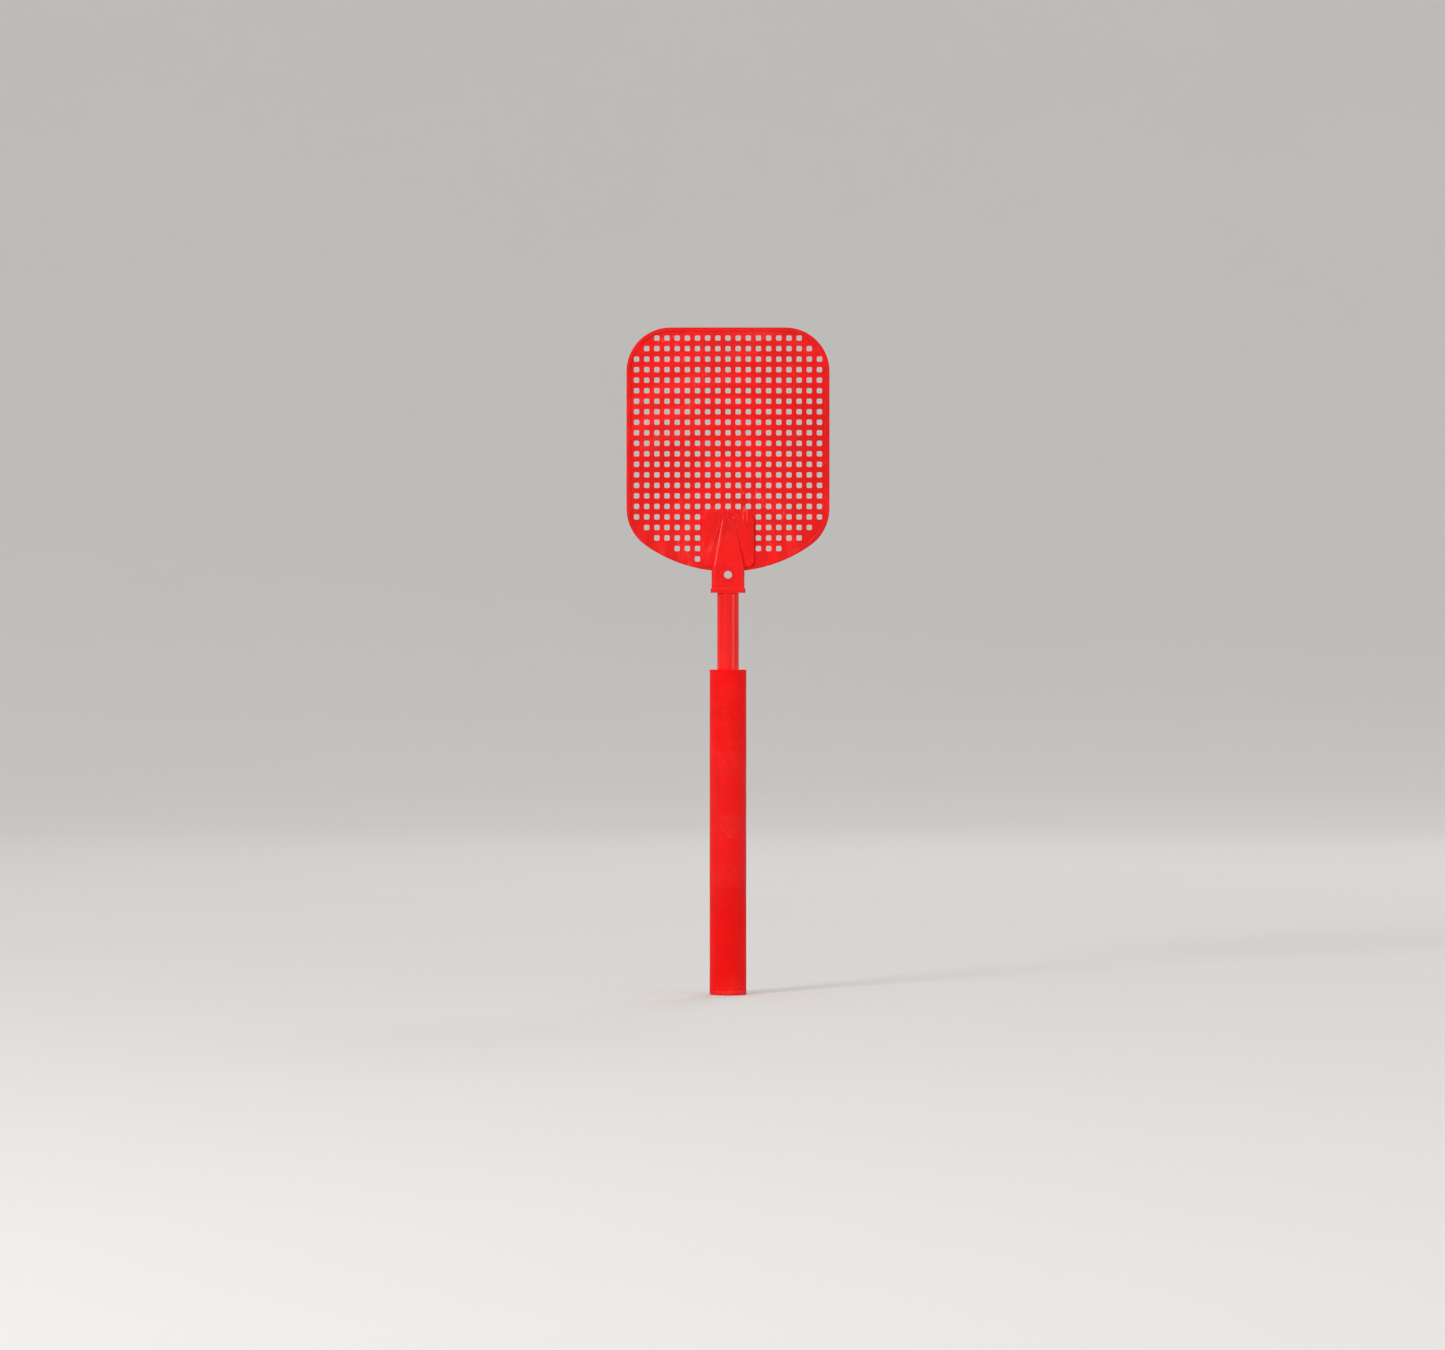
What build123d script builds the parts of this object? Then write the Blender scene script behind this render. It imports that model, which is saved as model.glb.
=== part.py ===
from build123d import *
from math import hypot, sqrt
import os

# Telescopic fly swatter, closed, in millimetres.
# The origin is the middle of the grip's end face. +Z runs up the shaft to the blade, and the front faces -Y.

# Overall sizes
blade_width = 101.5
blade_length = 122.0
grip_length = 162.5
grip_diameter = 18.5
stem_diameter = 11.0
stem_exposed = 38.2  # from the grip to the mouth of the outer tube
neck_height = 10.8  # from the mouth of the outer tube to the foot of the blade

# Blade: a flexible perforated sheet with a rolled rim
blade_thickness = 1.4
top_corner = 22.0
foot_corner = 22.5
foot_radius = 71.5
rim_width = 2.2
rim_thickness = 2.6
rim_round = 0.5
hole_side = 2.65
hole_corner = 0.7
hole_pitch_x = 5.08
hole_pitch_z = 5.26
hole_margin = 3.8  # the least distance from a hole's centre to the blade's edge
foot_margin = 4.35  # the same at the curved foot
first_row_drop = 5.3

# Neck: two rigid shells that clamp the blade and the tip tube
pad_width = 26.0
pad_height = 26.6
pad_plate = 1.5
pad_corner = 3.0
pad_round = 0.5
pad_lift = 2.4  # from the foot of the blade to the pad's lower edge
neck_width = 16.5
neck_depth = 10.0
neck_corner = 2.2
neck_shoulder = 2.6  # how far the full section runs above the foot of the blade
spine_width = 7.0
spine_depth = 5.4
spine_corner = 1.2
spine_drop = 3.0  # from the pad's upper edge to the spine's top
lip_height = 2.2
lip_proud = 0.5
peg_diameter = 3.0
peg_depth = 0.9
peg_inset = 3.5
peg_gap = 0.1

# Eyelet: a tubular rivet through the neck, which leaves a hole to hang the swatter by
eyelet_bore = 4.0
eyelet_wall = 0.4
eyelet_flange = 7.2
eyelet_flange_thickness = 0.6
eyelet_height = 9.2  # from the mouth of the outer tube
eyelet_round = 0.25
washer_diameter = 8.6
washer_thickness = 0.6
seat_gap = 0.1

# Telescopic shaft: an outer tube and three that slide in one another
tube_wall = 0.45
band_wall = 0.45  # the stop sleeves and friction springs fill this gap
running_gap = 0.05
band_gap = 0.03
mouth_roll = 1.5
mouth_step = 0.3  # each tube's mouth sits this far below the one outside it
plug_flange = 1.0
plug_insert = 5.0
plug_cup_wall = 0.8
spring_height = 9.0
spring_slit = 2.0
sleeve_height = 10.0
axial_gap = 0.1
paddle_rim = 1.55  # metal each side of the eyelet's hole in the flattened tip
paddle_thickness = 1.0
pinch_height = 4.5
paddle_above = 4.4  # from the eyelet's axis to the tip of the flattened end

# Grip
end_flange = 2.0
end_insert = 21.5
end_round = 0.8
end_cup_diameter = 6.0
end_dish_diameter = 12.0
end_dish_depth = 0.6
buffer_height = 3.0
buffer_gap = 0.1
grip_round = 0.4

# Heights along the shaft
tube_top = grip_length + stem_exposed
neck_bottom = tube_top + axial_gap
blade_foot = tube_top + neck_height
blade_top = blade_foot + blade_length
eyelet_z = tube_top + eyelet_height
pad_bottom = blade_foot + pad_lift
pad_top = pad_bottom + pad_height
half_blade = blade_thickness / 2

# Eyelet sizes that its seats share
eyelet_hole = eyelet_bore + 2 * (eyelet_wall + running_gap)
paddle_width = eyelet_hole + 2 * paddle_rim

# The three sliding stages, from the outside in: name, diameter, and the heights of the lowest face and mouth
stage_step = 2 * (tube_wall + running_gap + band_wall)
stage_lift = plug_flange + plug_insert
first_seat = end_flange + end_insert + buffer_height
stages = [
    (name, stem_diameter - n * stage_step, first_seat + (n - 1) * stage_lift, tube_top - n * mouth_step)
    for n, name in enumerate(("second", "third", "tip"), start=1)
]
tip_diameter = stages[-1][1]
pinch_bottom = eyelet_z - eyelet_hole / 2 - pinch_height
pinch_top = pinch_bottom + pinch_height


def save(part, name):
    """Labels a finished piece and writes it as one STEP file."""
    part.label = name
    export_step(part, f"parts/{name}.step")


os.makedirs("parts", exist_ok=True)

# --- The blade's outline, drawn on the XZ plane ---
half_width = blade_width / 2
side_foot = blade_foot + foot_radius - sqrt(foot_radius**2 - half_width**2)
with BuildSketch() as outline:
    with BuildLine():
        ThreePointArc((-half_width, side_foot), (0, blade_foot), (half_width, side_foot))
        Polyline(
            (half_width, side_foot),
            (half_width, blade_top),
            (-half_width, blade_top),
            (-half_width, side_foot),
        )
    make_face()
    fillet(outline.vertices().group_by(Axis.Y)[-1], radius=top_corner)
    fillet(outline.vertices().group_by(Axis.Y)[0], radius=foot_corner)

# --- Where the perforations go ---
with BuildSketch() as hole_field:
    add(outline.sketch)
    offset(amount=-hole_margin, mode=Mode.REPLACE)

side_columns = int((half_width - hole_margin) / hole_pitch_x)
rows = int((blade_length - first_row_drop - hole_margin) / hole_pitch_z) + 1
foot_reach = foot_radius - foot_margin  # measured from the middle of the foot's arc
hole_places = []
for row in range(rows):
    z = blade_top - first_row_drop - row * hole_pitch_z
    for column in range(-side_columns, side_columns + 1):
        x = column * hole_pitch_x
        beside_pad = abs(x) > (pad_width + hole_side) / 2
        above_pad = z > pad_top + hole_side / 2
        missing = row == rows - 1 and column > 0  # the last row has its hole on one side only
        clear_of_foot = hypot(x, z - blade_foot - foot_radius) <= foot_reach
        clear_of_edge = clear_of_foot and hole_field.face().is_inside((x, z, 0))
        if (beside_pad or above_pad) and clear_of_edge and not missing:
            hole_places.append((x, z))

peg_x = pad_width / 2 - peg_inset
peg_places = [(x, z) for z in (pad_bottom + peg_inset, pad_top - peg_inset) for x in (-peg_x, peg_x)]
notch_width = paddle_width + 2 * seat_gap
notch_top = eyelet_z + paddle_above + seat_gap

# --- Blade: the rim stops at the neck's pad, which clamps the bare sheet ---
with BuildSketch() as sheet:
    add(outline.sketch)
    with Locations(*hole_places):
        RectangleRounded(hole_side, hole_side, hole_corner, mode=Mode.SUBTRACT)
    with Locations(*peg_places):
        Circle(peg_diameter / 2 + peg_gap, mode=Mode.SUBTRACT)
    with Locations((0, blade_foot)):
        Rectangle(notch_width, 2 * (notch_top - blade_foot), mode=Mode.SUBTRACT)

with BuildPart() as rim:
    with BuildSketch(Plane.XZ.offset(-rim_thickness / 2)):
        add(outline.sketch)
        offset(amount=-rim_width, mode=Mode.SUBTRACT)
    extrude(amount=rim_thickness)
    fillet(rim.edges().group_by(Axis.Y)[0] + rim.edges().group_by(Axis.Y)[-1], radius=rim_round)
    with Locations((0, 0, pad_bottom)):
        Box(pad_width + 2 * seat_gap, 2 * rim_thickness, 2 * pad_height, mode=Mode.SUBTRACT)

with BuildPart() as blade:
    with BuildSketch(Plane.XZ.offset(-half_blade)):
        add(sheet.sketch)
    extrude(amount=blade_thickness, clean=False)
    add(rim.part, clean=False)
save(blade.part, "blade")


def neck_section(width, depth, height, corner):
    """Half of the neck's cross-section, on the front side, with its outer corners rounded."""
    with BuildSketch(Plane.XY.offset(height)) as section:
        with Locations((0, -depth / 2)):
            Rectangle(width, depth)
        fillet(section.vertices().group_by(Axis.Y)[0], radius=corner)
    return section.sketch


# --- Neck shells: the front one has sockets for the pegs, and the rear one has the pegs ---
shoulder_z = blade_foot + neck_shoulder
spine_top = pad_top - spine_drop
half_neck = neck_depth / 2
with BuildPart() as pad:
    with BuildSketch(Plane.XZ):
        with Locations((0, (pad_bottom + pad_top) / 2)):
            RectangleRounded(pad_width, pad_height, pad_corner)
    extrude(amount=half_blade + pad_plate)
    fillet(pad.edges().group_by(Axis.Y)[0], radius=pad_round)

with BuildPart() as blank:
    add(neck_section(neck_width, half_neck, neck_bottom, neck_corner))
    extrude(amount=shoulder_z - neck_bottom, dir=(0, 0, 1))
    add(neck_section(neck_width, half_neck, shoulder_z, neck_corner))
    add(neck_section(spine_width, spine_depth / 2, spine_top, spine_corner))
    loft()
    add(neck_section(neck_width + 2 * lip_proud, half_neck + lip_proud, neck_bottom, neck_corner + lip_proud))
    extrude(amount=lip_height, dir=(0, 0, 1))
    add(pad.part)

with BuildPart() as room:
    # The blade with a little room at its edge, the tip tube's bore, and the pocket for its flattened end
    with BuildSketch(Plane.XZ):
        add(outline.sketch)
        offset(amount=seat_gap, mode=Mode.REPLACE)
        with Locations((0, blade_foot)):
            Rectangle(notch_width - 2 * seat_gap, 2 * (notch_top - blade_foot), mode=Mode.SUBTRACT)
    extrude(amount=half_blade, both=True)
    with BuildSketch(Plane.XY.offset(neck_bottom)):
        Circle(tip_diameter / 2 + seat_gap)
    extrude(amount=pinch_bottom - neck_bottom)
    with BuildSketch(Plane.XY.offset(pinch_bottom - seat_gap)):
        RectangleRounded(notch_width, tip_diameter + 2 * seat_gap, tip_diameter / 4)
    extrude(amount=pinch_height + 2 * seat_gap)
    with BuildSketch(Plane.XY.offset(pinch_top)):
        Rectangle(notch_width, paddle_thickness)
    extrude(amount=notch_top - pinch_top)

with BuildPart() as neck_front_shell:
    add(blank.part)
    add(room.part, mode=Mode.SUBTRACT)
    with BuildSketch(Plane.XZ.offset(half_neck)):
        with Locations((0, eyelet_z)):
            Circle(eyelet_flange / 2 + seat_gap)
    extrude(amount=-eyelet_flange_thickness, mode=Mode.SUBTRACT)
    with BuildSketch(Plane.XZ):
        with Locations((0, eyelet_z)):
            Circle(eyelet_hole / 2)
    extrude(amount=half_neck, mode=Mode.SUBTRACT)
    with BuildSketch(Plane.XZ.offset(half_blade)):
        with Locations(*peg_places):
            Circle(peg_diameter / 2)
    extrude(amount=peg_depth, mode=Mode.SUBTRACT)
save(neck_front_shell.part, "neck_front_shell")

with BuildPart() as neck_rear_shell:
    mirror(blank.part, about=Plane.XZ)
    add(room.part, mode=Mode.SUBTRACT)
    with BuildSketch(Plane.XZ.offset(-half_neck)):
        with Locations((0, eyelet_z)):
            Circle(washer_diameter / 2 + seat_gap)
    extrude(amount=washer_thickness, mode=Mode.SUBTRACT)
    with BuildSketch(Plane.XZ):
        with Locations((0, eyelet_z)):
            Circle(eyelet_hole / 2)
    extrude(amount=-half_neck, mode=Mode.SUBTRACT)
    with BuildSketch(Plane.XZ.offset(-half_blade)):
        with Locations(*peg_places):
            Circle(peg_diameter / 2)
    extrude(amount=blade_thickness + peg_depth)
save(neck_rear_shell.part, "neck_rear_shell")

# --- Eyelet and the washer it is rolled over, turned about an axis along Y at the eyelet's height ---
eyelet_plane = Plane(origin=(0, 0, eyelet_z), x_dir=(1, 0, 0), z_dir=(0, 0, 1))
shank_radius = eyelet_bore / 2 + eyelet_wall
rear_face = half_neck + eyelet_flange_thickness
with BuildPart() as neck_eyelet:
    with BuildSketch(eyelet_plane):
        with BuildLine():
            Polyline(
                (eyelet_bore / 2, -half_neck),
                (eyelet_flange / 2, -half_neck),
                (eyelet_flange / 2, -half_neck + eyelet_flange_thickness),
                (shank_radius, -half_neck + eyelet_flange_thickness),
                (shank_radius, half_neck),
                (eyelet_flange / 2, half_neck),
                (eyelet_flange / 2, rear_face),
                (eyelet_bore / 2, rear_face),
                close=True,
            )
        make_face()
    revolve(axis=Axis((0, 0, eyelet_z), (0, 1, 0)))
    flange_faces = neck_eyelet.faces().filter_by(GeomType.PLANE).group_by(Axis.Y)
    fillet(flange_faces[0].edges() + flange_faces[-1].edges(), radius=eyelet_round)
save(neck_eyelet.part, "neck_eyelet")

with BuildPart() as eyelet_washer:
    with BuildSketch(Plane.XZ.offset(-half_neck)):
        with Locations((0, eyelet_z)):
            Circle(washer_diameter / 2)
            Circle(eyelet_hole / 2, mode=Mode.SUBTRACT)
    extrude(amount=washer_thickness)
save(eyelet_washer.part, "eyelet_washer")


def ring(outer, inner, low, high):
    """A plain round tube between two heights."""
    with BuildPart() as tube:
        with BuildSketch(Plane.XY.offset(low)):
            Circle(outer)
            Circle(inner, mode=Mode.SUBTRACT)
        extrude(amount=high - low)
    return tube.part


def mouthed_tube(diameter, low, high):
    """A thin tube whose upper end is rolled in to hold the next tube."""
    outer, inner = diameter / 2, diameter / 2 - tube_wall
    mouth = inner - band_wall
    with BuildPart() as tube:
        with BuildSketch(Plane.XZ):
            with BuildLine():
                Polyline(
                    (inner, low),
                    (outer, low),
                    (outer, high - tube_wall),
                    (outer - tube_wall / 2, high),
                    (mouth, high),
                    (mouth, high - mouth_roll + band_wall),
                    (inner, high - mouth_roll),
                    close=True,
                )
            make_face()
        revolve(axis=Axis.Z)
    return tube.part


# --- Sliding stages: each has a tube, a stop sleeve, a friction spring and an end plug ---
for name, diameter, seat, mouth in stages:
    radius = diameter / 2
    bore = radius - tube_wall
    tube_foot = seat + plug_flange
    spring_top = tube_foot + axial_gap + spring_height

    if name != "tip":
        save(mouthed_tube(diameter, tube_foot, mouth), f"{name}_tube")

    save(ring(radius + band_wall, radius, spring_top + axial_gap, spring_top + axial_gap + sleeve_height),
         f"{name}_stop_sleeve")

    with BuildPart() as spring:
        add(ring(radius + band_wall, radius + band_gap, tube_foot + axial_gap, spring_top))
        with Locations((0, -radius, seat + stage_lift)):
            Box(spring_slit, diameter, 4 * spring_height, mode=Mode.SUBTRACT)
    save(spring.part, f"{name}_friction_spring")

    with BuildPart() as plug:
        with BuildSketch(Plane.XY.offset(seat)):
            Circle(radius + band_wall)
        extrude(amount=plug_flange)
        with BuildSketch(Plane.XY.offset(tube_foot)):
            Circle(bore)
            Circle(bore - plug_cup_wall, mode=Mode.SUBTRACT)
        extrude(amount=plug_insert)
    save(plug.part, f"{name}_end_plug")

# --- Tip tube: its upper end is pinched flat and pierced for the eyelet ---
tip_foot = stages[-1][2] + plug_flange
with BuildPart() as tip_tube:
    add(ring(tip_diameter / 2, tip_diameter / 2 - tube_wall, tip_foot, pinch_bottom))
    with BuildSketch(Plane.XY.offset(pinch_bottom)):
        Circle(tip_diameter / 2)
    with BuildSketch(Plane.XY.offset(pinch_top)):
        Rectangle(paddle_width, paddle_thickness)
    loft()
    with BuildSketch(Plane.XZ):
        with Locations((0, (pinch_top + eyelet_z + paddle_above) / 2)):
            Rectangle(paddle_width, eyelet_z + paddle_above - pinch_top)
    extrude(amount=paddle_thickness / 2, both=True)
    paddle_corners = tip_tube.edges().filter_by(Axis.Y).group_by(Axis.Z)[-1]
    fillet(paddle_corners, radius=paddle_width / 4)
    with BuildSketch(Plane.XZ):
        with Locations((0, eyelet_z)):
            Circle(eyelet_hole / 2)
    extrude(amount=paddle_thickness, both=True, mode=Mode.SUBTRACT)
save(tip_tube.part, "tip_tube")

# --- Grip: outer tube, foam sleeve, end plug and the buffer that the sliding stages rest on ---
stem_radius = stem_diameter / 2
save(mouthed_tube(stem_diameter, end_flange, tube_top), "outer_tube")

with BuildPart() as grip_sleeve:
    add(ring(grip_diameter / 2, stem_radius, end_flange, grip_length))
    fillet(grip_sleeve.edges().group_by(Axis.Z)[-1].sort_by(SortBy.RADIUS)[-1], radius=grip_round)
save(grip_sleeve.part, "grip_sleeve")

with BuildPart() as grip_end_plug:
    with BuildSketch():
        Circle(grip_diameter / 2)
    extrude(amount=end_flange)
    fillet(grip_end_plug.edges().group_by(Axis.Z)[0], radius=end_round)
    with BuildSketch():
        Circle(end_dish_diameter / 2)
    extrude(amount=end_dish_depth, mode=Mode.SUBTRACT)
    with BuildSketch(Plane.XY.offset(end_flange)):
        Circle(stem_radius - tube_wall)
        Circle(end_cup_diameter / 2, mode=Mode.SUBTRACT)
    extrude(amount=end_insert)
save(grip_end_plug.part, "grip_end_plug")

with BuildPart() as retraction_buffer:
    with BuildSketch(Plane.XY.offset(end_flange + end_insert)):
        Circle(stem_radius - tube_wall - buffer_gap)
    extrude(amount=buffer_height)
save(retraction_buffer.part, "retraction_buffer")

# --- Travels, from each stop sleeve's top to the shoulder under the mouth of the tube outside it ---
mouths = [tube_top] + [mouth for _, _, _, mouth in stages]
for (name, _, seat, _), outer_mouth in zip(stages, mouths):
    sleeve_top = seat + plug_flange + 2 * axial_gap + spring_height + sleeve_height
    print(f"{name} stage slides {outer_mouth - mouth_roll - sleeve_top:.1f}")
row_heights = sorted({z for _, z in hole_places}, reverse=True)
row_counts = [sum(z == height for _, z in hole_places) for height in row_heights]
print("perforations in each row, from the top:", row_counts)
print(f"{len(hole_places)} perforations, overall height {blade_top:.1f}, eyelet at {eyelet_z:.1f}")
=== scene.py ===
import math
import bmesh
import bpy
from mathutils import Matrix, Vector, noise


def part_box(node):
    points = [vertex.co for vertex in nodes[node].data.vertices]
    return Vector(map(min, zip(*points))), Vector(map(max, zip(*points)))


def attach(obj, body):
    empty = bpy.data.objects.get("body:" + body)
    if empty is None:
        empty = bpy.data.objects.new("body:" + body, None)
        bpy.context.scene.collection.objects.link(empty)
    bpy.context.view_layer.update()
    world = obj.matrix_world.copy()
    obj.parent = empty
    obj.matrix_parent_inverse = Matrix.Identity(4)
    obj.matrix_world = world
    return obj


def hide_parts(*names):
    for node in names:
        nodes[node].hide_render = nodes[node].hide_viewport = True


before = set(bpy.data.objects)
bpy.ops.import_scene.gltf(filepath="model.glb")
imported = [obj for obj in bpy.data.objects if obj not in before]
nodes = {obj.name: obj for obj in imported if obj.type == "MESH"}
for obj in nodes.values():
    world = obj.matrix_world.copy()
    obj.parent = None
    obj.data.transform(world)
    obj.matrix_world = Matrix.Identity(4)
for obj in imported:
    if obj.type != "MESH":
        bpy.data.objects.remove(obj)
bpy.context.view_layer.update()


# small helpers for node trees
def addNode(tree, kind, **values):
    node = tree.nodes.new(kind)
    for name, value in values.items():
        setattr(node, name, value)
    return node


def feed(tree, socket, source):
    # a node's output is linked, and anything else is the socket's own value
    if isinstance(source, bpy.types.NodeSocket):
        tree.links.new(source, socket)
    else:
        socket.default_value = source


def calc(tree, operation, first, second=0.0, clamp=False):
    node = addNode(tree, "ShaderNodeMath", operation=operation, use_clamp=clamp)
    feed(tree, node.inputs[0], first)
    feed(tree, node.inputs[1], second)
    return node.outputs[0]


def remap(tree, value, low, high, toLow=0.0, toHigh=1.0):
    node = addNode(tree, "ShaderNodeMapRange", clamp=True, interpolation_type="SMOOTHSTEP")
    feed(tree, node.inputs["Value"], value)
    feed(tree, node.inputs["From Min"], low)
    feed(tree, node.inputs["From Max"], high)
    feed(tree, node.inputs["To Min"], toLow)
    feed(tree, node.inputs["To Max"], toHigh)
    return node.outputs["Result"]


def mixColour(tree, factor, first, second):
    node = addNode(tree, "ShaderNodeMix", data_type="RGBA", clamp_factor=True)
    feed(tree, node.inputs["Factor"], factor)
    feed(tree, node.inputs[6], first)
    feed(tree, node.inputs[7], second)
    return node.outputs[2]


def newGroup(name, inputs, outputs):
    tree = bpy.data.node_groups.new(name, "ShaderNodeTree")
    for label, kind, value in inputs:
        socket = tree.interface.new_socket(name=label, in_out="INPUT", socket_type=kind)
        if value is not None:
            socket.default_value = value
    for label in outputs:
        tree.interface.new_socket(name=label, in_out="OUTPUT", socket_type="NodeSocketFloat")
    return tree, addNode(tree, "NodeGroupInput"), addNode(tree, "NodeGroupOutput")


def useGroup(tree, group, **values):
    node = addNode(tree, "ShaderNodeGroup", node_tree=group)
    for label, value in values.items():
        feed(tree, node.inputs[label], value)
    return node


def noiseOn(tree, place, scale, detail=3.0, roughness=0.55):
    node = addNode(tree, "ShaderNodeTexNoise")
    feed(tree, node.inputs["Vector"], place)
    feed(tree, node.inputs["Scale"], scale)
    node.inputs["Detail"].default_value = detail
    node.inputs["Roughness"].default_value = roughness
    return node.outputs["Fac"]


number, vector = "NodeSocketFloat", "NodeSocketVector"


# moulded or sprayed surface: a fine grain over slow changes of shade
def buildGrain():
    tree, given, made = newGroup(
        "surfaceGrain",
        [("Place", vector, None), ("Fine", number, 3000.0), ("Broad", number, 40.0)],
        ["Height", "Shade", "Gloss"],
    )
    fine = noiseOn(tree, given.outputs["Place"], given.outputs["Fine"], 4.0)
    broad = noiseOn(tree, given.outputs["Place"], given.outputs["Broad"], 3.0)
    feed(tree, made.inputs["Height"], fine)
    feed(tree, made.inputs["Shade"], remap(tree, broad, 0.3, 0.7))
    both = calc(tree, "MULTIPLY", calc(tree, "ADD", fine, broad), 0.5)
    feed(tree, made.inputs["Gloss"], remap(tree, both, 0.35, 0.65))
    return tree


# where a corner is rubbed: the rounded normal leaves the true one only near an edge
def buildEdgeWear():
    tree, given, made = newGroup(
        "edgeWear",
        [("Place", vector, None), ("Width", number, 0.0004), ("Break", number, 500.0),
         ("Amount", number, 0.6)],
        ["Mask"],
    )
    rounded = addNode(tree, "ShaderNodeBevel", samples=6)
    feed(tree, rounded.inputs["Radius"], given.outputs["Width"])
    surface = addNode(tree, "ShaderNodeNewGeometry")
    dot = addNode(tree, "ShaderNodeVectorMath", operation="DOT_PRODUCT")
    feed(tree, dot.inputs[0], rounded.outputs["Normal"])
    feed(tree, dot.inputs[1], surface.outputs["Normal"])
    away = calc(tree, "SUBTRACT", 1.0, dot.outputs["Value"])
    corner = remap(tree, away, 0.02, 0.25)
    patchy = remap(tree, noiseOn(tree, given.outputs["Place"], given.outputs["Break"]), 0.42, 0.62)
    worn = calc(tree, "MULTIPLY", corner, patchy)
    feed(tree, made.inputs["Mask"], calc(tree, "MULTIPLY", worn, given.outputs["Amount"], clamp=True))
    return tree


# hairline scratches, drawn out by the stretch
def buildScratches():
    tree, given, made = newGroup(
        "hairScratches",
        [("Place", vector, None), ("Stretch", vector, (1.0, 1.0, 0.05)), ("Scale", number, 900.0),
         ("Thin", number, 0.03), ("Amount", number, 0.5)],
        ["Mask"],
    )
    drawn = addNode(tree, "ShaderNodeVectorMath", operation="MULTIPLY")
    feed(tree, drawn.inputs[0], given.outputs["Place"])
    feed(tree, drawn.inputs[1], given.outputs["Stretch"])
    lines = noiseOn(tree, drawn.outputs["Vector"], given.outputs["Scale"], 2.0)
    centred = calc(tree, "ABSOLUTE", calc(tree, "SUBTRACT", lines, 0.5))
    line = calc(tree, "SUBTRACT", 1.0, remap(tree, centred, 0.0, given.outputs["Thin"]))
    patches = remap(tree, noiseOn(tree, given.outputs["Place"], 35.0), 0.5, 0.68)
    feed(tree, made.inputs["Mask"],
         calc(tree, "MULTIPLY", calc(tree, "MULTIPLY", line, patches), given.outputs["Amount"], clamp=True))
    return tree


# dry dust in soft patches
def buildDust():
    tree, given, made = newGroup(
        "settledDust",
        [("Place", vector, None), ("Scale", number, 30.0), ("Amount", number, 0.1)],
        ["Mask"],
    )
    patch = remap(tree, noiseOn(tree, given.outputs["Place"], given.outputs["Scale"], 5.0, 0.65), 0.45, 0.75)
    speck = remap(tree, noiseOn(tree, given.outputs["Place"], 1800.0, 2.0), 0.4, 0.7)
    feed(tree, made.inputs["Mask"],
         calc(tree, "MULTIPLY", calc(tree, "MULTIPLY", patch, speck), given.outputs["Amount"], clamp=True))
    return tree


# open cells of a foam sleeve: the height dents the open pits, and the mask darkens them in colour as painted
# shade
def buildPores():
    tree, given, made = newGroup(
        "foamPores",
        [("Place", vector, None), ("Scale", number, 1400.0)],
        ["Height", "Mask"],
    )
    cells = addNode(tree, "ShaderNodeTexVoronoi", feature="F1")
    feed(tree, cells.inputs["Vector"], given.outputs["Place"])
    feed(tree, cells.inputs["Scale"], given.outputs["Scale"])
    pits = addNode(tree, "ShaderNodeTexVoronoi", feature="F1")
    feed(tree, pits.inputs["Vector"], given.outputs["Place"])
    feed(tree, pits.inputs["Scale"], calc(tree, "MULTIPLY", given.outputs["Scale"], 0.75))
    # open cells come in loose groups of mixed size
    crowd = noiseOn(tree, given.outputs["Place"], 160.0, 3.0)
    reach = remap(tree, crowd, 0.38, 0.70, 0.06, 0.42)
    pitWithPaintedShade = calc(tree, "SUBTRACT", 1.0, remap(tree, pits.outputs["Distance"], 0.04, reach))
    height = calc(tree, "SUBTRACT", calc(tree, "MULTIPLY", cells.outputs["Distance"], 0.6), pitWithPaintedShade)
    feed(tree, made.inputs["Height"], height)
    # the mask marks where shade is painted into the pits
    feed(tree, made.inputs["Mask"], pitWithPaintedShade)
    return tree


surfaceGrain = buildGrain()
edgeWear = buildEdgeWear()
hairScratches = buildScratches()
settledDust = buildDust()
foamPores = buildPores()
print("shared effects built")


def newFinish(name):
    material = bpy.data.materials.new(name)
    material.use_nodes = True
    tree = material.node_tree
    shader = tree.nodes["Principled BSDF"]
    place = addNode(tree, "ShaderNodeTexCoord").outputs["Object"]
    return material, tree, shader, place


def raiseSurface(tree, shader, height, depth):
    bump = addNode(tree, "ShaderNodeBump")
    bump.inputs["Strength"].default_value = 1.0
    bump.inputs["Distance"].default_value = depth
    feed(tree, bump.inputs["Height"], height)
    feed(tree, shader.inputs["Normal"], bump.outputs["Normal"])


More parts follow.
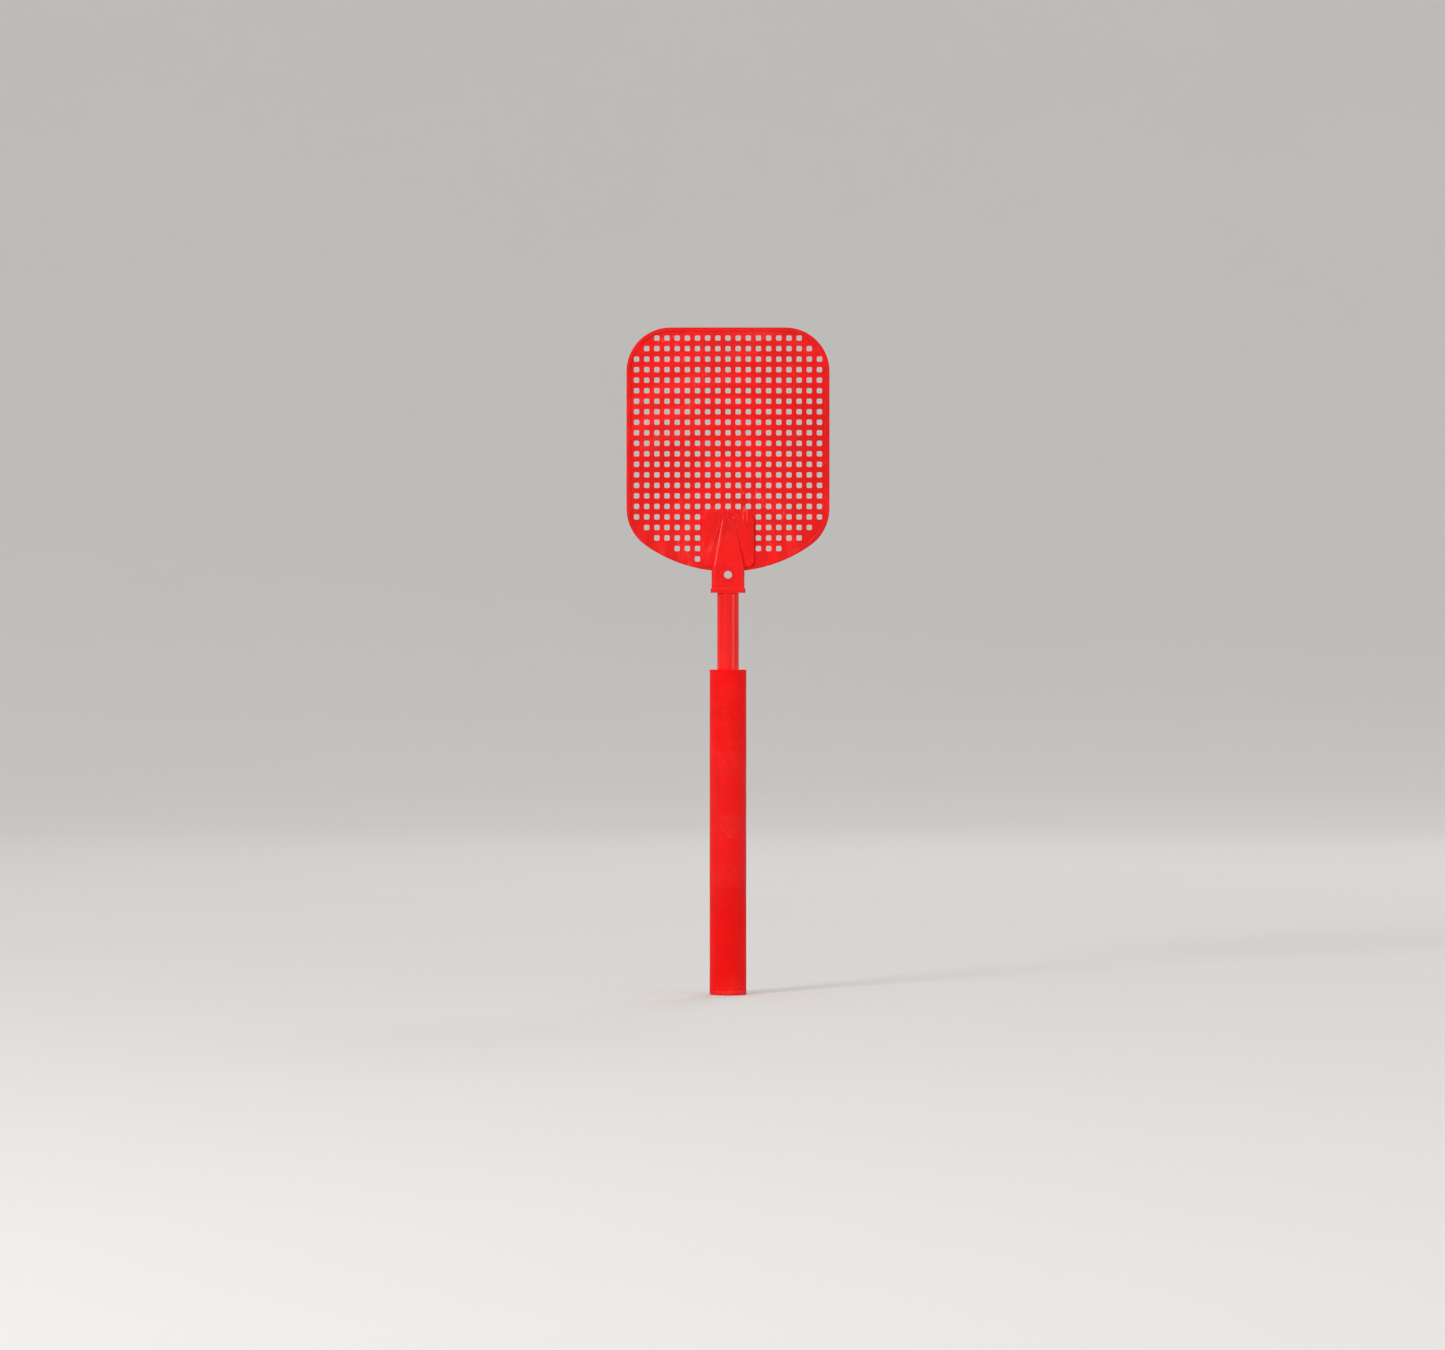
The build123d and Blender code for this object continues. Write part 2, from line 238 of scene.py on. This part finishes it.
# the coloured finishes share one recipe, and each has its own values
def paintedFinish(name, look):
    material, tree, shader, place = newFinish(name)
    grain = useGroup(tree, surfaceGrain, Place=place, Fine=look["grainScale"], Broad=look["shadeScale"])
    colour = mixColour(tree, grain.outputs["Shade"], look["deep"], look["light"])
    wear = useGroup(tree, edgeWear, Place=place, Width=look["wearWidth"], Break=look["wearBreak"],
                    Amount=look["wearAmount"]).outputs["Mask"]
    colour = mixColour(tree, wear, colour, look["worn"])
    scratch = useGroup(tree, hairScratches, Place=place, Stretch=look["scratchStretch"],
                       Scale=look["scratchScale"], Thin=look["scratchThin"],
                       Amount=look["scratchAmount"]).outputs["Mask"]
    colour = mixColour(tree, scratch, colour, look["worn"])
    dust = useGroup(tree, settledDust, Place=place, Scale=look["dustScale"],
                    Amount=look["dustAmount"]).outputs["Mask"]
    colour = mixColour(tree, dust, colour, look["dust"])
    feed(tree, shader.inputs["Base Color"], colour)
    rough = remap(tree, grain.outputs["Gloss"], 0.0, 1.0, look["roughLow"], look["roughHigh"])
    rough = calc(tree, "ADD", rough, calc(tree, "MULTIPLY", dust, 0.5), clamp=True)
    rough = calc(tree, "ADD", rough, calc(tree, "MULTIPLY", wear, 0.15), clamp=True)
    feed(tree, shader.inputs["Roughness"], rough)
    height = calc(tree, "SUBTRACT", grain.outputs["Height"], calc(tree, "MULTIPLY", scratch, 0.8))
    raiseSurface(tree, shader, height, look["grainDepth"])
    shader.inputs["Specular IOR Level"].default_value = look["specular"]
    shader.inputs["Coat Weight"].default_value = look["coat"]
    shader.inputs["Coat Roughness"].default_value = look["coatRough"]
    return material


redFinish = {
    "deep": (0.70, 0.0010, 0.0009, 1.0),
    "light": (0.96, 0.0026, 0.0022, 1.0),
    "worn": (0.97, 0.170, 0.140, 1.0),
    "dust": (0.80, 0.30, 0.27, 1.0),
    "grainScale": 1500.0,
    "grainDepth": 0.00006,
    "shadeScale": 22.0,
    "roughLow": 0.38,
    "roughHigh": 0.52,
    "wearWidth": 0.0006,
    "wearBreak": 420.0,
    "wearAmount": 0.75,
    "scratchStretch": (1.0, 1.0, 0.15),
    "scratchScale": 420.0,
    "scratchThin": 0.016,
    "scratchAmount": 0.6,
    "dustScale": 26.0,
    "dustAmount": 0.16,
    "specular": 0.22,
    "coat": 0.0,
    "coatRough": 0.1,
}


# the blade: flow marks spread from the gate at its foot, where the plastic was injected
flow = {"pitch": 0.011, "waver": 4.0, "shade": 0.55, "gate": "neck_front_shell"}


def bladePlastic():
    material = paintedFinish("bladePlastic", {**redFinish, "shadeScale": 16.0})
    tree, shader = material.node_tree, material.node_tree.nodes["Principled BSDF"]
    place = next(node for node in tree.nodes if node.type == "TEX_COORD").outputs["Object"]
    gateLow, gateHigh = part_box(flow["gate"])
    gate = (0.0, 0.0, (gateLow[2] + gateHigh[2]) / 2)
    centred = addNode(tree, "ShaderNodeVectorMath", operation="SUBTRACT")
    feed(tree, centred.inputs[0], place)
    centred.inputs[1].default_value = gate
    rings = addNode(tree, "ShaderNodeTexWave", wave_type="RINGS", rings_direction="SPHERICAL")
    feed(tree, rings.inputs["Vector"], centred.outputs["Vector"])
    rings.inputs["Scale"].default_value = math.pi / 10 / flow["pitch"]  # the phase runs 20 radians a unit
    rings.inputs["Distortion"].default_value = flow["waver"]
    rings.inputs["Detail"].default_value = 2.0
    band = remap(tree, rings.outputs["Fac"], 0.35, 0.65)
    oldColour = shader.inputs["Base Color"].links[0].from_socket
    marked = calc(tree, "MULTIPLY", band, flow["shade"])
    feed(tree, shader.inputs["Base Color"], mixColour(tree, marked, oldColour, redFinish["deep"]))
    oldRough = shader.inputs["Roughness"].links[0].from_socket
    feed(tree, shader.inputs["Roughness"],
         calc(tree, "ADD", oldRough, calc(tree, "MULTIPLY", band, 0.06), clamp=True))
    return material


def neckPlastic():
    look = {**redFinish, "roughLow": 0.24, "roughHigh": 0.36, "grainDepth": 0.00001,
            "wearWidth": 0.0004, "specular": 0.28, "dustAmount": 0.06}
    return paintedFinish("neckPlastic", look)


def stemLacquer():
    look = {**redFinish, "roughLow": 0.16, "roughHigh": 0.26, "grainScale": 900.0, "grainDepth": 0.000006,
            "scratchStretch": (1.0, 1.0, 0.03), "scratchScale": 700.0, "scratchAmount": 0.65,
            "scratchThin": 0.022, "specular": 0.30, "coat": 0.22, "coatRough": 0.05, "dustAmount": 0.04}
    return paintedFinish("stemLacquer", look)


def eyeletMetal():
    look = {**redFinish, "worn": (0.70, 0.24, 0.19, 1.0), "wearWidth": 0.0002, "wearAmount": 0.45,
            "roughLow": 0.42, "roughHigh": 0.56, "grainDepth": 0.000006, "specular": 0.22}
    return paintedFinish("eyeletMetal", look)


def plugPlastic():
    look = {**redFinish, "roughLow": 0.50, "roughHigh": 0.64, "grainScale": 1800.0,
            "grainDepth": 0.00005, "dustAmount": 0.12}
    return paintedFinish("plugPlastic", look)


# the foam: fine cells, a few open pits darkened with painted shade, and a rubbed zone where the hand closes
foam = {
    "cellScale": 1150.0,
    "cellDepth": 0.00018,
    "handMiddle": 0.085,  # height of the middle of the rubbed zone
    "handReach": 0.055,
    "deep": (0.80, 0.0014, 0.0012, 1.0),
    "light": (0.94, 0.0030, 0.0026, 1.0),
    # painted shade: the colour inside the open pits, darker than the foam
    "pitWithPaintedShade": (0.52, 0.0012, 0.0012, 1.0),
    "rubbed": (0.82, 0.0040, 0.0036, 1.0),
}


def gripFoam():
    material, tree, shader, place = newFinish("gripFoam")
    grain = useGroup(tree, surfaceGrain, Place=place, Fine=2200.0, Broad=30.0)
    pores = useGroup(tree, foamPores, Place=place, Scale=foam["cellScale"])
    colour = mixColour(tree, grain.outputs["Shade"], foam["deep"], foam["light"])
    parts = addNode(tree, "ShaderNodeSeparateXYZ")
    feed(tree, parts.inputs["Vector"], place)
    fromMiddle = calc(tree, "ABSOLUTE", calc(tree, "SUBTRACT", parts.outputs["Z"], foam["handMiddle"]))
    rubbed = calc(tree, "SUBTRACT", 1.0, remap(tree, fromMiddle, foam["handReach"] * 0.4, foam["handReach"]))
    rubbed = calc(tree, "MULTIPLY", rubbed, remap(tree, grain.outputs["Gloss"], 0.2, 0.8, 0.5, 1.0))
    colour = mixColour(tree, calc(tree, "MULTIPLY", rubbed, 0.6), colour, foam["rubbed"])
    # painted shade: the open pits are darkened in colour
    colour = mixColour(tree, calc(tree, "MULTIPLY", pores.outputs["Mask"], 0.7), colour, foam["pitWithPaintedShade"])
    dust = useGroup(tree, settledDust, Place=place, Scale=40.0, Amount=0.12).outputs["Mask"]
    feed(tree, shader.inputs["Base Color"], mixColour(tree, dust, colour, redFinish["dust"]))
    feed(tree, shader.inputs["Roughness"], remap(tree, rubbed, 0.0, 1.0, 0.88, 0.66))
    height = calc(tree, "ADD", pores.outputs["Height"], calc(tree, "MULTIPLY", grain.outputs["Height"], 0.5))
    raiseSurface(tree, shader, height, foam["cellDepth"])
    shader.inputs["Specular IOR Level"].default_value = 0.15
    shader.inputs["Sheen Weight"].default_value = 0.05
    return material


# the shaft's inside: drawn metal, with lines along the tube
def drawnMetal(name, look):
    material, tree, shader, place = newFinish(name)
    grain = useGroup(tree, surfaceGrain, Place=place, Fine=1500.0, Broad=look["stainScale"])
    lines = useGroup(tree, hairScratches, Place=place, Stretch=(1.0, 1.0, 0.015), Scale=1600.0,
                     Thin=0.05, Amount=look["lines"]).outputs["Mask"]
    colour = mixColour(tree, grain.outputs["Shade"], look["dark"], look["bright"])
    feed(tree, shader.inputs["Base Color"], mixColour(tree, lines, colour, look["dark"]))
    feed(tree, shader.inputs["Roughness"],
         remap(tree, grain.outputs["Gloss"], 0.0, 1.0, look["roughLow"], look["roughHigh"]))
    raiseSurface(tree, shader, calc(tree, "SUBTRACT", grain.outputs["Height"], lines), 0.000004)
    shader.inputs["Metallic"].default_value = 1.0
    return material


def brightSteel():
    look = {"dark": (0.46, 0.46, 0.47, 1.0), "bright": (0.66, 0.66, 0.67, 1.0),
            "stainScale": 60.0, "lines": 0.5, "roughLow": 0.16, "roughHigh": 0.28}
    return drawnMetal("brightSteel", look)


def springBronze():
    look = {"dark": (0.42, 0.22, 0.09, 1.0), "bright": (0.74, 0.47, 0.22, 1.0),
            "stainScale": 180.0, "lines": 0.3, "roughLow": 0.22, "roughHigh": 0.40}
    return drawnMetal("springBronze", look)


def insidePlastic(name, deep, light, roughLow, roughHigh):
    look = {**redFinish, "deep": deep, "light": light, "worn": light, "dust": light,
            "roughLow": roughLow, "roughHigh": roughHigh, "wearAmount": 0.4}
    return paintedFinish(name, look)


# the foam sleeve: a spun section whose outside is a little uneven, never outside its own radius
sleeve = {
    "segments": 128,
    "lengthCuts": 90,
    "endRound": 0.0006,
    "endRoundSegments": 4,
    "sharpFrom": 40,  # degrees
    "unevenness": 0.00014,
    "unevenSize": 55.0,
}


def makeGripSleeve():
    low, high = (Vector(corner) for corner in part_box("grip_sleeve"))
    stemLow, stemHigh = (Vector(corner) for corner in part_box("outer_tube"))
    outer, inner = (high.x - low.x) / 2, (stemHigh.x - stemLow.x) / 2
    mesh = bmesh.new()
    section = [(inner, low.z), (outer, low.z), (outer, high.z), (inner, high.z)]
    corners = [mesh.verts.new((radius, 0.0, height)) for radius, height in section]
    sides = [mesh.edges.new((corners[n], corners[(n + 1) % 4])) for n in range(4)]
    outside = sides[1]
    bmesh.ops.subdivide_edges(mesh, edges=[outside], cuts=sleeve["lengthCuts"])
    bmesh.ops.spin(mesh, geom=mesh.verts[:] + mesh.edges[:], cent=(0, 0, 0), axis=(0, 0, 1),
                   angle=2 * math.pi, steps=sleeve["segments"], use_merge=True)
    bmesh.ops.remove_doubles(mesh, verts=mesh.verts[:], dist=1e-6)
    rim = [e for e in mesh.edges if all(abs(v.co.z - high.z) < 1e-6 for v in e.verts)
           and all(abs(v.co.xy.length - outer) < 1e-6 for v in e.verts)]
    bmesh.ops.bevel(mesh, geom=rim, offset=sleeve["endRound"], offset_type="OFFSET",
                    segments=sleeve["endRoundSegments"], profile=0.5, affect="EDGES", material=-1)
    bmesh.ops.recalc_face_normals(mesh, faces=mesh.faces[:])
    for vert in mesh.verts:
        radius = vert.co.xy.length
        clear = min(vert.co.z - low.z, high.z - vert.co.z)
        if radius > (outer + inner) / 2 and clear > 2 * sleeve["endRound"]:
            swell = 0.5 + 0.5 * noise.noise(vert.co * sleeve["unevenSize"])
            vert.co.xy *= (radius - sleeve["unevenness"] * swell) / radius
    data = bpy.data.meshes.new("gripSleeveFoam")
    mesh.to_mesh(data)
    mesh.free()
    data.shade_smooth()
    data.set_sharp_from_angle(angle=math.radians(sleeve["sharpFrom"]))
    piece = bpy.data.objects.new("gripSleeveFoam", data)
    bpy.context.scene.collection.objects.link(piece)
    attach(piece, "grip")
    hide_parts("grip_sleeve")
    return piece


gripPiece = makeGripSleeve()
gripPiece.data.materials.append(gripFoam())
print("foam sleeve made:", len(gripPiece.data.polygons), "faces")

lacquer, eyeletFinish, neckFinish = stemLacquer(), eyeletMetal(), neckPlastic()
steel, bronze = brightSteel(), springBronze()
nylon = insidePlastic("sleeveNylon", (0.66, 0.63, 0.53, 1.0), (0.80, 0.78, 0.70, 1.0), 0.42, 0.55)
blackPlastic = insidePlastic("stagePlugPlastic", (0.020, 0.020, 0.022, 1.0),
                             (0.045, 0.045, 0.05, 1.0), 0.45, 0.6)
rubber = insidePlastic("bufferRubber", (0.015, 0.015, 0.015, 1.0), (0.03, 0.03, 0.03, 1.0), 0.75, 0.9)
finishes = {
    "blade": bladePlastic(),
    "neck_front_shell": neckFinish,
    "neck_rear_shell": neckFinish,
    "neck_eyelet": eyeletFinish,
    "eyelet_washer": eyeletFinish,
    "outer_tube": lacquer,
    "grip_end_plug": plugPlastic(),
    "retraction_buffer": rubber,
}
for name in nodes:
    if name.endswith("_tube") and name != "outer_tube":
        finishes[name] = steel
    elif name.endswith("_friction_spring"):
        finishes[name] = bronze
    elif name.endswith("_stop_sleeve"):
        finishes[name] = nylon
    elif name.endswith("_end_plug") and name != "grip_end_plug":
        finishes[name] = blackPlastic
for name, finish in finishes.items():
    piece = nodes[name]
    if not piece.material_slots:
        piece.data.materials.append(finish)
    for place in piece.material_slots:
        place.material = finish
print("finishes on", len(finishes), "nodes")


# floor, lights and camera
studio = {
    "floorReach": 6.6,
    "sweepRadius": 3.6,
    "wallHeight": 3.8,
    "bendSteps": 12,
    "floorSegments": 96,
    "dimPaper": 0.97,  # shade of the paper's darker patches
    "paper": (0.74, 0.735, 0.72, 1.0),
    "lens": 135.0,
    "sensor": 36.0,
    "viewWidth": 0.7225,  # width of the view at the object
    "viewMiddle": (-0.00275, 0.15975),
    "worldLight": 0.74,
}


def makeFloor():
    mesh = bmesh.new()
    reach, bend, top = studio["floorReach"], studio["sweepRadius"], studio["wallHeight"]
    line = [mesh.verts.new((0.0, 0.0, 0.0)), mesh.verts.new((reach - bend, 0.0, 0.0))]
    for step in range(1, studio["bendSteps"] + 1):
        turn = math.pi / 2 * step / studio["bendSteps"]
        line.append(mesh.verts.new((reach - bend + bend * math.sin(turn), 0.0, bend - bend * math.cos(turn))))
    line.append(mesh.verts.new((reach, 0.0, top)))
    for first, second in zip(line, line[1:]):
        mesh.edges.new((first, second))
    bmesh.ops.spin(mesh, geom=mesh.verts[:] + mesh.edges[:], cent=(0, 0, 0), axis=(0, 0, 1),
                   angle=2 * math.pi, steps=studio["floorSegments"], use_merge=True)
    bmesh.ops.remove_doubles(mesh, verts=mesh.verts[:], dist=1e-5)
    bmesh.ops.recalc_face_normals(mesh, faces=mesh.faces[:])
    data = bpy.data.meshes.new("paperSweep")
    mesh.to_mesh(data)
    mesh.free()
    data.shade_smooth()
    sweep = bpy.data.objects.new("paperSweep", data)
    bpy.context.scene.collection.objects.link(sweep)
    material, tree, shader, place = newFinish("studioPaper")
    tone = noiseOn(tree, place, 3.0, 4.0)
    pale = studio["paper"]
    dim = (*(part * studio["dimPaper"] for part in pale[:3]), 1.0)
    feed(tree, shader.inputs["Base Color"], mixColour(tree, tone, dim, pale))
    shader.inputs["Roughness"].default_value = 0.9
    shader.inputs["Specular IOR Level"].default_value = 0.1
    data.materials.append(material)


def addLight(name, place, aim, size, power):
    data = bpy.data.lights.new(name, "AREA")
    data.shape = "DISK"
    data.size = size
    data.energy = power
    light = bpy.data.objects.new(name, data)
    light.location = place
    light.rotation_euler = (Vector(aim) - Vector(place)).to_track_quat("-Z", "Y").to_euler()
    bpy.context.scene.collection.objects.link(light)


def makeStudio():
    makeFloor()
    aim = (0.0, 0.0, 0.18)
    addLight("keyLight", (-1.5, -2.2, 1.3), aim, 0.8, 36.0)
    addLight("fillLight", (2.1, -1.3, 0.6), aim, 1.2, 6.5)
    addLight("backLight", (0.9, 2.4, 2.2), aim, 1.4, 16.0)
    world = bpy.data.worlds.new("studioWorld")
    bpy.context.scene.world = world
    world.use_nodes = True
    background = world.node_tree.nodes["Background"]
    background.inputs["Color"].default_value = (1.0, 0.99, 0.98, 1.0)
    background.inputs["Strength"].default_value = studio["worldLight"]
    lens = bpy.data.cameras.new("studioCamera")
    lens.lens = studio["lens"]
    lens.sensor_width = studio["sensor"]
    lens.clip_end = 50.0
    camera = bpy.data.objects.new("studioCamera", lens)
    across, up = studio["viewMiddle"]
    camera.location = (across, -studio["viewWidth"] / studio["sensor"] * studio["lens"], up)
    camera.rotation_euler = (math.pi / 2, 0.0, 0.0)
    bpy.context.scene.collection.objects.link(camera)
    bpy.context.scene.camera = camera
    bpy.context.scene.view_settings.view_transform = "Standard"


makeStudio()
print("studio set")
